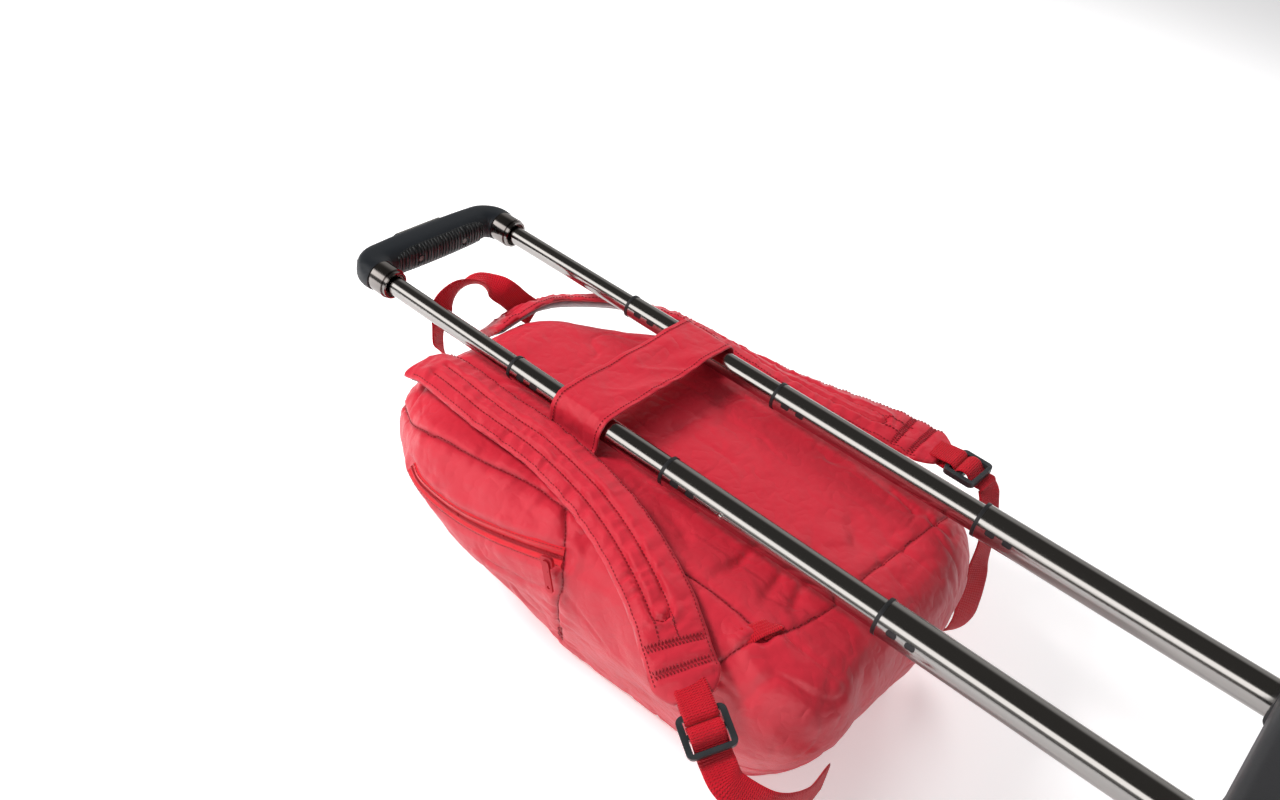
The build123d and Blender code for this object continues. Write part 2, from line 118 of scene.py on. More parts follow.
def minus(tree, a, b):
    return math_node(tree, "SUBTRACT", a, b)


def times(tree, a, b, clamp=False):
    return math_node(tree, "MULTIPLY", a, b, clamp=clamp)


def axes(tree, where):
    """The x, y and z sockets of a place."""
    split = add(tree, "SeparateXYZ")
    link(tree, where, split.inputs[0])
    return split.outputs


def noise_node(tree, where, scale, detail=3.0):
    node = add(tree, "TexNoise")
    for name, value in (("Scale", scale), ("Detail", detail), ("Vector", where)):
        link(tree, value, node.inputs[name])
    return node.outputs["Fac"]


def mix_node(tree, factor, first, second):
    """Colour mix, from the first at factor 0 to the second at 1; each is RGBA or a socket."""
    node = add(tree, "Mix")
    node.data_type = "RGBA"
    for name, value in (("Factor", factor), ("A", first), ("B", second)):
        link(tree, value, node.inputs[name])
    return node.outputs["Result"]


def shade(colour, gain, lift=0.0):
    """A colour scaled and lifted, as RGBA."""
    return (*(min(1, c * gain + lift) for c in colour), 1)


def wave(tree, value, pitch):
    """Sine of a length in metres, one period every pitch millimetres."""
    return math_node(tree, "SINE", times(tree, value, 2 * math.pi / (pitch * MM)))


def weave_height(tree, where, pitch):
    """Plain weave that runs over any face: threads along two slanted axes."""
    x, y, z = axes(tree, where)
    first, second = plus(tree, x, z), minus(tree, y, z)
    return times(tree, wave(tree, first, pitch), wave(tree, second, pitch))


def rib_height(tree, pitch, columns):
    """Webbing ribs across the strap, broken into woven columns; needs a UV map in metres."""
    along, across, _ = axes(tree, add(tree, "UVMap").outputs[0])
    slant = math_node(tree, "ABSOLUTE", wave(tree, across, columns))
    bent = plus(tree, along, times(tree, slant, RIB_BEND * MM))
    return plus(tree, wave(tree, bent, pitch), times(tree, slant, RIB_COLUMN))


def crinkle_height(tree, where, gain):
    """Sharp valleys wherever a slow noise passes its middle value."""
    slow = noise_node(tree, where, CRINKLE_SCALE, 2.5)
    creased = math_node(tree, "ABSOLUTE", minus(tree, slow, 0.5))
    return times(tree, creased, gain)


def material(name, colour, rough, metal=0.0, mottle=(30.0, 0.12), grain=(1500.0, 0.15), depth=0.05,
             stretch=(1, 1, 1), weave=0.0, ribs=None, sheen=0.0, specular=0.5, seam_painted_shade=0.0, worn=0.0,
             sheen_tint=(1, 1, 1), crinkle=0.0):
    """Procedural material: mottled colour, uneven gloss and a fine bump.

    mottle and grain are (noise scale, strength); depth is the bump's height and weave the
    thread pitch, both in millimetres; ribs is (pitch, columns) of webbing; lines paints shade
    into the sewn grooves along the mesh's "seam" attribute and worn pales the sharp edges.
    """
    made = bpy.data.materials.new(name)
    made.use_nodes = True
    tree = made.node_tree
    shader = tree.nodes["Principled BSDF"]
    where = add(tree, "TexCoord").outputs["Object"]
    if stretch != (1, 1, 1):
        mapping = add(tree, "Mapping")
        mapping.inputs["Scale"].default_value = stretch
        link(tree, where, mapping.inputs[0])
        where = mapping.outputs[0]
    cloud = noise_node(tree, where, mottle[0])
    tint = mix_node(tree, cloud, shade(colour, 1 - mottle[1]), shade(colour, 1 + mottle[1]))
    # Painted shade: the base colour darkens along the sewn grooves, where the seam attribute is high.
    if seam_painted_shade:
        seam_shade_mask = add(tree, "Attribute")
        seam_shade_mask.attribute_name = "seam"
        share = times(tree, seam_shade_mask.outputs["Fac"], seam_painted_shade)
        tint = mix_node(tree, share, tint, shade(colour, SEAM_PAINTED_SHADE))
    if worn:
        edge = add(tree, "NewGeometry").outputs["Pointiness"]
        above = minus(tree, edge, EDGE_START)
        rub = times(tree, above, EDGE_GAIN, clamp=True)
        tint = mix_node(tree, times(tree, rub, worn), tint, shade(colour, *EDGE_SHADE))
    uneven = times(tree, minus(tree, cloud, 0.5), UNEVEN_GLOSS)
    height = times(tree, noise_node(tree, where, grain[0], 2.0), grain[1])
    if weave:
        woven = times(tree, weave_height(tree, where, weave), WEAVE_SHARE)
        height = plus(tree, height, woven)
    if ribs:
        height = plus(tree, height, rib_height(tree, *ribs))
    if crinkle:
        height = plus(tree, height, crinkle_height(tree, where, crinkle / depth))
    bump = add(tree, "Bump")
    bump.inputs["Strength"].default_value = 1.0
    bump.inputs["Distance"].default_value = depth * MM
    link(tree, height, bump.inputs["Height"])
    inputs = {"Base Color": tint, "Roughness": plus(tree, uneven, rough, clamp=True),
              "Normal": bump.outputs[0], "Metallic": metal, "Specular IOR Level": specular,
              "Sheen Weight": sheen, "Sheen Roughness": SHEEN_ROUGH, "Sheen Tint": (*sheen_tint, 1)}
    for target, value in inputs.items():
        link(tree, value, shader.inputs[target])
    look[name] = made
    return made


RED = (0.58, 0.021, 0.040)
# The nylon darkens its seam grooves with painted shade.
material("nylon", RED, 0.39, mottle=(14, 0.10), grain=(900, 0.5), depth=0.05, weave=0.7,
         sheen=0.2, sheen_tint=(1.0, 0.45, 0.5), specular=0.7, seam_painted_shade=0.75, crinkle=3.8)
material("webbing", (0.56, 0.006, 0.018), 0.6, mottle=(120, 0.15), grain=(2500, 0.5),
         depth=0.25, ribs=(1.7, 5.0), sheen=0.3, sheen_tint=(1.0, 0.4, 0.4))
material("thread", (0.26, 0.004, 0.012), 0.6, mottle=(300, 0.25), grain=(4000, 0.6),
         depth=0.08, sheen=0.3)
material("spacer_mesh", (0.27, 0.26, 0.27), 0.8, mottle=(200, 0.3), grain=(900, 0.6),
         depth=0.4, weave=2.2, sheen=0.4)
material("tube_metal", (0.45, 0.43, 0.415), 0.14, metal=1.0, mottle=(40, 0.18),
         grain=(900, 0.3), depth=0.012, stretch=(1, 0.02, 1))
material("collar_metal", (0.24, 0.22, 0.21), 0.13, metal=1.0, mottle=(60, 0.15),
         grain=(1200, 0.3), depth=0.01, worn=0.5)
material("bush_plastic", (0.012, 0.012, 0.013), 0.42, grain=(1600, 0.5), depth=0.03, worn=0.3)
material("bright_steel", (0.66, 0.65, 0.63), 0.22, metal=1.0, mottle=(150, 0.1), depth=0.01)
material("screw_steel", (0.10, 0.095, 0.09), 0.3, metal=1.0, mottle=(300, 0.2), depth=0.02,
         worn=0.5)
material("grip_rubber", (0.011, 0.013, 0.016), 0.5, mottle=(50, 0.2), grain=(2600, 0.8),
         depth=0.05, sheen=0.03, specular=0.45, worn=0.2)
material("grip_rib_plastic", (0.010, 0.011, 0.012), 0.3, specular=0.7, grain=(2000, 0.6),
         depth=0.03, worn=0.25)
material("trim_metal", (0.60, 0.57, 0.52), 0.3, metal=1.0, mottle=(80, 0.06),
         grain=(900, 0.4), depth=0.015, stretch=(0.03, 1, 1))
material("base_plastic", (0.022, 0.022, 0.024), 0.5, grain=(900, 0.9), depth=0.12, worn=0.35)
material("tyre_rubber", (0.025, 0.025, 0.025), 0.75, mottle=(60, 0.3), grain=(1400, 0.9),
         depth=0.12, worn=0.4)
material("buckle_plastic", (0.016, 0.018, 0.020), 0.38, mottle=(90, 0.2),
         grain=(1500, 0.5), depth=0.04, worn=0.5)
material("zip_tape", (0.66, 0.018, 0.03), 0.6, mottle=(150, 0.15), grain=(2500, 0.6),
         depth=0.12, weave=0.9, sheen=0.3)
material("zip_metal", (0.36, 0.012, 0.022), 0.32, metal=0.6, mottle=(200, 0.15),
         depth=0.02, worn=0.6)

# CAD nodes by look: the starts of their names.
CAD_LOOKS = {
    "tube_metal": ["stage1_tube", "stage2_tube", "stage3_tube", "stage4_tube"],
    "bush_plastic": ["stage2_bushes", "stage3_bushes", "stage4_bushes", "stage1_guides",
                     "stage2_guides", "stage3_guides", "release_yoke", "pull_rods", "push_button"],
    "bright_steel": ["stage3_ball", "button_spring", "axle"],
    "screw_steel": ["grip_screws", "collar_screws", "toe_screws", "axle_clips"],
    "grip_rubber": ["grip_shell"],
    "grip_rib_plastic": ["grip_ribs"],
    "trim_metal": ["trim_plate"],
    "collar_metal": ["collar_left", "collar_right"],
    "base_plastic": ["base_housing", "toe_plate", "wheel_"],
    "tyre_rubber": ["toe_pads", "tyre_"],
    "buckle_plastic": ["buckle_"],
    "zip_metal": ["side_slider", "side_puller", "main_slider", "main_puller"],
}
for key, prefixes in CAD_LOOKS.items():
    for name, node in nodes.items():
        if name.startswith(tuple(prefixes)):
            node.data.materials.clear()
            node.data.materials.append(look[key])


# ---- mesh helpers
def smooth_piece(name, mesh, key, body="bag"):
    """A smooth-shaded object with one look, attached to its body."""
    mesh.polygons.foreach_set("use_smooth", [True] * len(mesh.polygons))
    mesh.materials.clear()
    mesh.materials.append(look[key])
    piece = bpy.data.objects.new(name, mesh)
    scene.collection.objects.link(piece)
    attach(piece, body)
    return piece


def mesh_object(name, verts, faces, key, body="bag", crease=0, uv=None):
    """A piece from millimetre vertices; edges bent by crease radians or more stay sharp."""
    mesh = bpy.data.meshes.new(name)
    mesh.from_pydata([tuple(v) for v in np.asarray(verts, float) * MM], [], [tuple(f) for f in faces])
    if uv is not None:
        layer = mesh.uv_layers.new(name="UVMap")
        order = np.zeros(len(mesh.loops), int)
        mesh.loops.foreach_get("vertex_index", order)
        layer.data.foreach_set("uv", (np.asarray(uv, float) * MM)[order].ravel())
    if crease:
        work = bmesh.new()
        work.from_mesh(mesh)
        for edge in work.edges:
            if len(edge.link_faces) == 2:
                edge.smooth = edge.calc_face_angle(0) < crease
        work.to_mesh(mesh)
        work.free()
    return smooth_piece(name, mesh, key, body)


def hash_noise(points, seed):
    """Smooth value noise, -1 to 1, at an array of 3-D points."""
    cell = np.floor(points).astype(np.int64)
    part = points - cell
    part = part * part * (3 - 2 * part)
    total = np.zeros(len(points))
    for corner in np.ndindex(2, 2, 2):
        at = cell + np.array(corner)
        code = at[:, 0] * 73856093 ^ at[:, 1] * 19349663 ^ at[:, 2] * 83492791 ^ seed * 49979693
        code = (code ^ (code >> 13)) * 1274126177 & 0x7FFFFFFF
        code = (code ^ (code >> 15)) * 668265263 & 0x7FFFFFFF
        weight = np.prod(np.where(np.array(corner), part, 1 - part), axis=1)
        total += weight * (code / 0x3FFFFFFF - 1)
    return total


def along_noise(s, pitch, seed, other=None, other_pitch=40.0):
    """Noise along one length, drifting slowly over a second one."""
    drift = np.zeros(np.size(s)) if other is None else np.ravel(other) / other_pitch
    rows = [np.ravel(s) / pitch, drift, np.full(np.size(s), seed * 7.3)]
    return hash_noise(np.stack(rows, 1), seed).reshape(np.shape(s))


def curve_through(rows, step):
    """Smooth curve through rows whose first three columns are a place, at even steps."""
    rows = np.array(rows, float)
    rows = np.vstack([2 * rows[0] - rows[1], rows, 2 * rows[-1] - rows[-2]])
    t = np.linspace(0, 1, 24, endpoint=False)[:, None]
    fine = [0.5 * (2 * b + (c - a) * t + (2 * a - 5 * b + 4 * c - d) * t**2 + (3 * b - a - 3 * c + d) * t**3)
            for a, b, c, d in zip(rows, rows[1:], rows[2:], rows[3:])]
    fine = np.vstack(fine + [rows[-2:-1]])
    length = np.append(0, np.cumsum(np.linalg.norm(np.diff(fine[:, :3], axis=0), axis=1)))
    s = np.linspace(0, length[-1], max(3, int(round(length[-1] / step)) + 1))
    return np.stack([np.interp(s, length, column) for column in fine.T], 1), s


def unit(vectors):
    return vectors / np.maximum(np.linalg.norm(vectors, axis=-1, keepdims=True), 1e-9)


def clip01(values):
    return np.clip(values, 0, 1)


def bell(gap, width):
    """Smooth bump: 1 where gap is 0, fading over width."""
    return np.exp(-(gap / width) ** 2)


def near(points, line):
    """Distance from points to a polyline, and the arc length of the nearest spot."""
    best, spot, start = np.full(len(points), 1e9), np.zeros(len(points)), 0.0
    for a, b in zip(line[:-1], line[1:]):
        span = b - a
        size = np.linalg.norm(span)
        t = clip01((points - a) @ span / max(size**2, 1e-9))
        gap = np.linalg.norm(points - (a + t[:, None] * span), axis=1)
        closer = gap < best
        best[closer] = gap[closer]
        spot[closer] = start + t[closer] * size
        start += size
    return best, spot


def frames_of(centre, normal):
    """Unit vectors across and out of a strap at each point of its middle line."""
    tangent = unit(np.gradient(centre, axis=0))
    across = unit(np.cross(normal, tangent))
    return across, np.cross(tangent, across)


def loft_faces(rings, size, capped=False):
    """Quads between closed rings of size points each, and the two end caps if wanted."""
    faces = [(i * size + j, i * size + (j + 1) % size, (i + 1) * size + (j + 1) % size, (i + 1) * size + j)
             for i in range(rings - 1) for j in range(size)]
    if capped:
        faces += [tuple(range(size))[::-1], tuple(range((rings - 1) * size, rings * size))]
    return faces


def strap_mesh(centre, normal, half, top, bottom, columns):
    """Closed strap: top and bottom are height functions of (s, v), in mm along the normal."""
    across, out = frames_of(centre, normal)
    s = np.append(0, np.cumsum(np.linalg.norm(np.diff(centre, axis=0), axis=1)))
    u = np.linspace(-1, 1, columns)
    v = u[None, :] * np.broadcast_to(half, s.shape)[:, None]
    along = np.broadcast_to(s[:, None], v.shape)
    flat = centre[:, None, :] + across[:, None, :] * v[..., None]
    upper = flat + out[:, None, :] * top(along, v)[..., None]
    lower = flat + out[:, None, :] * bottom(along, v)[..., None]
    ring = np.concatenate([upper, lower[:, ::-1]], axis=1)
    uv = np.stack([along, v], -1)
    uv = np.concatenate([uv, uv[:, ::-1]], axis=1)
    size = 2 * columns
    faces = loft_faces(len(s), size)
    for start, order in ((0, 1), ((len(s) - 1) * size, -1)):
        for j in range(columns - 1):
            quad = (start + j, start + size - 1 - j, start + size - 2 - j, start + j + 1)
            faces.append(quad[::order])
    return ring.reshape(-1, 3), faces, uv.reshape(-1, 2), (upper, out)


# One stitch: stations along it, and the thread's thickness and height there in radii.
STITCH_AT = np.array([0, 0.2, 0.5, 0.8, 1])
STITCH_FAT = np.array([0.25, 0.9, 1.0, 0.9, 0.25])
STITCH_LIFT = np.array([-0.5, 0.5, 0.9, 0.5, -0.5])
STITCH_SIDES = 6


def thread_mesh(runs, radius=0.42, pitch=3.6, gap=0.9):
    """Stitches along runs of (points, normals): short arched bars of thread."""
    verts, faces = [], []
    bar = loft_faces(len(STITCH_AT), STITCH_SIDES, capped=True)
    turns = np.arange(STITCH_SIDES) * 2 * math.pi / STITCH_SIDES
    for points, normals in runs:
        line = np.hstack([points, normals])
        if len(points) > 2:
            line, s = curve_through(line, 0.9)
        else:
            s = np.append(0, np.linalg.norm(points[1] - points[0]))
        for start in np.arange(0, s[-1] - pitch + gap + 1e-6, pitch):
            marks = start + STITCH_AT * (pitch - gap)
            spots = np.stack([np.interp(marks, s, line[:, k]) for k in range(6)], 1)
            where, up = spots[:, :3], unit(spots[:, 3:])
            go = unit(where[-1] - where[0])
            side = unit(np.cross(up, go))
            base = len(verts)
            for k, (fat, lift) in enumerate(zip(radius * STITCH_FAT, radius * STITCH_LIFT)):
                rings = [side[k] * math.cos(turn) + up[k] * math.sin(turn) for turn in turns]
                verts += [where[k] + up[k] * lift + ring * fat for ring in rings]
            faces += [tuple(base + corner for corner in face) for face in bar]
    return verts, faces


def stitches(name, runs, **size):
    verts, faces = thread_mesh(runs, **size)
    return mesh_object(name, verts, faces, "thread")


# ---- the bag
# Outlines of the bag at its fullest and on the floor: corners as (x, y, radius).
FULL = [(-182, -220, 60), (-181, 178, 80), (-128, 246, 60), (30, 247, 70), (140, 100, 150),
        (138, -214, 110)]
FLOOR = [(-140, -182, 45), (-142, 30, 100), (-88, 185, 50), (15, 195, 60), (105, 80, 110),
         (105, -182, 45)]
# Heights: top of the roll round the floor, full outline, rim of the back panel, back panel.
ROLL, WALL, RIM, TOP = 12.0, 100.0, 116.0, 160.6
BACK = 160              # height of the back panel's folds
# The line that floor and back panel close to: its x and its ends in y.
SPINE_X, SPINE_ENDS = -20.0, (-120, 130)
SHOULDER = 50.0         # the back panel's edge lies this far inside the full outline
# Highest that the fabric stands, under the band (to BAND_REACH each side) and elsewhere.
BAND_REACH, LID_BAND, LID, LID_EASE = 98.0, 161.6, 163.4, 2.5


def rounded(corners, arc=12, line=12):
    """Points round an outline whose corners are (x, y, radius)."""
    ends = []
    count = len(corners)
    for i, (x, y, radius) in enumerate(corners):
        here = np.array([x, y], float)
        a = unit(np.array(corners[i - 1][:2]) - here)
        b = unit(np.array(corners[(i + 1) % count][:2]) - here)
        half = math.acos(float(a @ b)) / 2
        centre = here + unit(a + b) * radius / math.sin(half)
        first = here + a * radius / math.tan(half) - centre
        last = here + b * radius / math.tan(half) - centre
        turn = math.atan2(first[1], first[0])
        sweep = (math.atan2(last[1], last[0]) - turn + math.pi) % (2 * math.pi) - math.pi
        turns = turn + sweep * np.linspace(0, 1, arc)
        ends.append(centre + radius * np.stack([np.cos(turns), np.sin(turns)], 1))
    points = []
    for i, part in enumerate(ends):
        points.append(part)
        after = ends[(i + 1) % count][0]
        t = np.linspace(0, 1, line + 2)[1:-1, None]
        points.append(part[-1] * (1 - t) + after * t)
    return np.vstack(points)


def bag_rings():
    """Closed rings of points from the middle of the floor, up the sides, to the back panel's."""
    full, floor = rounded(FULL), rounded(FLOOR)

    def ring(z, mix, inset, share=0.0):
        """Outline mixed from floor (0) to full (1), inset, then drawn in to the spine by share."""
        plan = floor * (1 - mix) + full * mix
        spine = np.stack([np.full(len(plan), SPINE_X), np.clip(plan[:, 1], *SPINE_ENDS)], 1)
        towards = unit(spine - plan)
        moved = plan + towards * inset
        moved = moved * (1 - share) + spine * share
        return np.column_stack([moved, np.full(len(moved), z)])

    rings = [ring(0, 0, 24, 1.0), ring(0, 0, 24, 0.4), ring(0, 0, 24), ring(0.6, 0, 11), ring(4, 0, 4),
             ring(ROLL, 0, -1)]
    for z in np.arange(24, 101, 11):
        bulge = 3 * math.sin(math.pi * (z - ROLL) / (RIM - ROLL))
        rings.append(ring(z, (z - ROLL) / (WALL - ROLL), -bulge))
    for z in (108, RIM):
        rings.append(ring(z, 1, -0.5))
    for q in np.linspace(0, 1, 14)[1:]:
        rings.append(ring(RIM + (TOP - RIM) * (1 - (1 - q) ** 2.3) ** 0.5, 1, SHOULDER * q))
    for share in (0.2, 0.45, 0.7, 1.0):
        rings.append(ring(TOP + 0.8 * share, 1, SHOULDER, share))
    return np.stack(rings)


# Places along each seam and zipper, laid on the shell later.
SEAMS = {
    "foot": [(120, -165, 60), (138, -165, 100), (138, -167, 128), (122, -170, 146), (98, -171, 156),
             (69, -170, 161), (21, -166, 161), (-29, -162, 161), (-69, -163, 161), (-112, -156, 161),
             (-139, -145, 160), (-160, -136, 154), (-174, -131, 138), (-180, -130, 110), (-165, -130, 50),
             (-145, -128, 6)],
    "side": [(-120, 238, 122), (-141, 224, 130), (-156, 201, 137), (-163, 174, 148), (-162, 155, 152),
             (-160, 135, 153), (-157, 109, 155), (-152, 81, 157), (-150, 60, 158), (-151, 38, 158),
             (-144, 10, 159), (-138, -40, 160), (-134, -90, 160), (-139, -145, 160)],
    "cross": [(-152, 33, 157), (-167, 18, 148), (-180, 5, 125), (-177, 6, 98), (-171, 9, 70),
              (-160, 14, 42), (-150, 20, 20)],
}
ZIP = [(-176, 175, 118.5), (-180, 163, 113), (-181, 134, 110.5), (-182, 109, 112.5), (-182, 83, 118.5),
       (-182, 51, 128), (-181, 28, 136), (-179, 12, 142)]
MAIN_ZIP = [(-100, 248, 111), (-60, 249, 111), (0, 249, 111), (36, 246, 111), (62, 228, 111),
            (100, 172, 111), (126, 126, 111), (138, 92, 111), (140, 60, 111), (140, 0, 111),
            (140, -60, 111), (140, -112, 111)]
# Soft folds: height (negative for a valley), width and places. One without z is on the back.
FOLDS = [
    (-2.2, 9, (-70, 40), (-48, -10), (-40, -70)),
    (1.2, 9, (-52, 48), (-24, 0), (-14, -40)),
    (-1.8, 10, (60, 50), (30, 8), (10, -50)),
    (-4.2, 5, (-128, -84, 159), (-93, -89, 161), (-60, -84)),
    (2.2, 6, (-118, -104, 158), (-84, -106), (-48, -102)),
    (-4.0, 5, (-124, -126, 158), (-90, -120), (-44, -112)),
    (-3.2, 5, (-112, -150), (-84, -137, 161), (-50, -134, 161)),
    (-3.2, 6, (-120, -60, 159), (-100, -40), (-92, -2)),
    (-2.0, 6, (-60, -150), (-44, -126), (-16, -100)),
    (-1.8, 7, (-20, -160), (4, -130), (36, -110)),
    (1.5, 6, (-40, -160), (-20, -136), (8, -118)),
    (-1.8, 8, (70, -165, 158), (52, -130), (56, -90)),
    (-2.4, 8, (-100, 40), (-104, 0), (-112, -50, 158)),
    (-1.4, 12, (60, 190, 158), (20, 160), (-20, 110)),
    (-1.6, 10, (-60, 225, 155), (-40, 180), (-44, 130)),
    (1.2, 9, (-10, 232, 154), (-14, 190), (4, 150)),
    (-1.6, 8, (-168, 150, 145), (-176, 100, 135), (-170, 40, 145)),
    (1.6, 8, (-182, 150, 128), (-182, 90, 124), (-180, 40, 134)),
    (2.2, 12, (-182, 130, 92), (-178, 80, 84), (-176, 20, 96)),
    (-2.2, 12, (-176, 110, 70), (-172, 60, 60), (-170, 12, 66)),
    (-2.0, 12, (-174, -20, 140), (-180, -50, 110), (-172, -84, 70)),
    (1.8, 12, (-166, -24, 60), (-176, -70, 96), (-178, -118, 110)),
    (-2.0, 12, (-158, -28, 30), (-164, -80, 50), (-166, -124, 60)),
    (-2.0, 10, (-120, -170, 150), (-100, -200, 120), (-90, -206, 70)),
    (1.8, 10, (-40, -168, 156), (-30, -200, 130), (-20, -206, 70)),
    (-2.0, 10, (50, -172, 154), (46, -204, 120), (40, -200, 60)),
    (1.6, 9, (100, -174, 146), (104, -200, 110), (96, -190, 50)),
]


def snap_to(tree, rows, step=3.0):
    """A smooth line through rows, laid on the surface; returns places and normals."""
    line, _ = curve_through(rows, step)
    places, normals = [], []
    for point in line:
        where, normal, _, _ = tree.find_nearest(Vector(point * MM))
        places.append(np.array(where) / MM)
        normals.append(np.array(normal))
    return np.array(places), unit(np.array(normals))


def per_vertex(mesh, kind):
    """A mesh's vertex vectors of one kind ("co" in metres or "normal") as an array."""
    values = np.zeros(len(mesh.vertices) * 3)
    mesh.vertices.foreach_get(kind, values)
    return values.reshape(-1, 3)


def surface_tree(mesh):
    """Search tree over a mesh, for snap_to."""
    return BVHTree.FromPolygons([v.co for v in mesh.vertices], [tuple(p.vertices) for p in mesh.polygons])


def remeshed(mesh, voxel, smoothing):
    """Even, rounded copy of a closed mesh."""
    piece = bpy.data.objects.new("work", mesh)
    scene.collection.objects.link(piece)
    remesh = piece.modifiers.new("remesh", "REMESH")
    remesh.mode = "VOXEL"
    remesh.voxel_size = voxel * MM
    smooth = piece.modifiers.new("smooth", "SMOOTH")
    smooth.iterations = smoothing
    piece.modifiers.new("fine", "SUBSURF").levels = 1
    made = bpy.data.meshes.new_from_object(piece.evaluated_get(bpy.context.evaluated_depsgraph_get()))
    made.name = mesh.name
    bpy.data.objects.remove(piece)
    return made


# Crease patterns of crumple(): length scale along each axis and height.
CREASES = [((26, 60, 40), 1.1), ((55, 22, 40), 0.9), ((15, 34, 20), 0.5)]


def crumple(co, seed):
    """Patches of thin creases, longest along a slowly turning direction."""
    drift = np.stack([hash_noise(co / 60, seed + k) for k in range(3)], 1)
    total = np.zeros(len(co))
    for number, (stretch, height) in enumerate(CREASES):
        bend = hash_noise(co / np.array(stretch) + 0.7 * drift, seed + 10 + number)
        patch = clip01(0.35 + 1.3 * hash_noise(co / 75, seed + 20 + number))
        total += 1.6 * height * patch * (0.4 - bell(bend, 0.13))
    return total


def press_folds(move, co, tree):
    """Add the soft folds, each fading out at both ends."""
    for height, width, *rows in FOLDS:
        line, _ = snap_to(tree, [(*place, BACK)[:3] for place in rows], 8.0)
        gap, s = near(co, line)
        length = np.linalg.norm(np.diff(line, axis=0), axis=1).sum()
        fade = clip01(np.sin(math.pi * clip01(s / length)))
        wander = 1 + 0.35 * hash_noise(co / 23, 11)
        move += height * wander * fade * bell(gap, width)


def gather_seams(move, co, tree):
    """Sink each seam between two padded edges with puckers; returns how near a seam is, 0 to 1, as painted
    shade for the grooves.
    """
    seam_shade_mask = np.zeros(len(co))
    for number, rows in enumerate(SEAMS.values()):
        line, _ = snap_to(tree, rows, 4.0)
        gap, s = near(co, line)
        pucker = along_noise(s, 7.0, 20 + number) + 0.6 * along_noise(s, 15.0, 40 + number)
        move += 1.9 * pucker * np.exp(-(gap / 14) ** 1.3) * (1 - bell(gap, 2.5))
        move += 0.8 * bell(gap - 8, 6) - 1.9 * bell(gap, 2.1)
        # Painted shade mask: darkest right in each seam's groove.
        seam_shade_mask = np.maximum(seam_shade_mask, bell(gap, 1.2))
    return seam_shade_mask


def seat_zips(move, co, tree):
    """Calm the fabric beside each zipper, let the tape in and raise a lip along it."""
    for number, rows in enumerate((ZIP, MAIN_ZIP)):
        line, _ = snap_to(tree, rows, 4.0)
        gap, s = near(co, line)
        move *= 1 - np.exp(-(gap / 15) ** 3)
        move += 1.0 * bell(gap - 13, 4) - 1.4 * np.exp(-(gap / 8) ** 4)
        move += 0.9 * along_noise(s, 11.0, 60 + number) * bell(gap - 15, 7)


def under_lid(co):
    """Ease the top of the shell under the band and straps, and its floor onto the ground."""
    lid = np.where(np.abs(co[:, 0]) < BAND_REACH, LID_BAND, LID) - LID_EASE
    over = co[:, 2] - lid
    co[:, 2] = np.where(over > 0, lid + LID_EASE * (1 - np.exp(-over / LID_EASE)), co[:, 2])
    co[:, 2] = np.maximum(co[:, 2], 0.05)


def bag_shell():
    """The whole bag as one padded shell; returns its surface for the pieces sewn to it."""
    rings = bag_rings()
    rough = bpy.data.meshes.new("bag_shell")
    rough.from_pydata([tuple(v) for v in rings.reshape(-1, 3) * MM], [], loft_faces(*rings.shape[:2]))
    mesh = remeshed(rough, voxel=3.4, smoothing=9)
    co, normal = per_vertex(mesh, "co") / MM, per_vertex(mesh, "normal")
    tree = surface_tree(mesh)
    move = 2.0 * hash_noise(co / 95, 3) + 1.1 * hash_noise(co / 42, 5) + 0.3 * hash_noise(co / 15, 8)
    move += crumple(co, 70)
    press_folds(move, co, tree)
    seam_shade_mask = gather_seams(move, co, tree)
    seat_zips(move, co, tree)
    co = co + normal * move[:, None]
    under_lid(co)
    mesh.vertices.foreach_set("co", (co * MM).ravel())
    # The seam attribute is painted shade that darkens the sewn grooves.
    mesh.attributes.new("seam", "FLOAT", "POINT").data.foreach_set("value", seam_shade_mask)
    mesh.update()
    piece = smooth_piece("bag_shell", mesh, "nylon")
    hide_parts("bag_body", "bottom_panel", "back_panel")
    return surface_tree(mesh)


skin = bag_shell()


def seam_threads():
    """Stitches along every seam of the shell."""
    runs = []
    for rows in SEAMS.values():
        line, normals = snap_to(skin, rows, 3.0)
        runs.append((line + normals * 0.15, normals))
    stitches("bag_seam_threads", runs, gap=0.6)


seam_threads()
TAPE_HALF, TAPE_LIP, COIL_HALF = 9.0, 5.6, 2.0


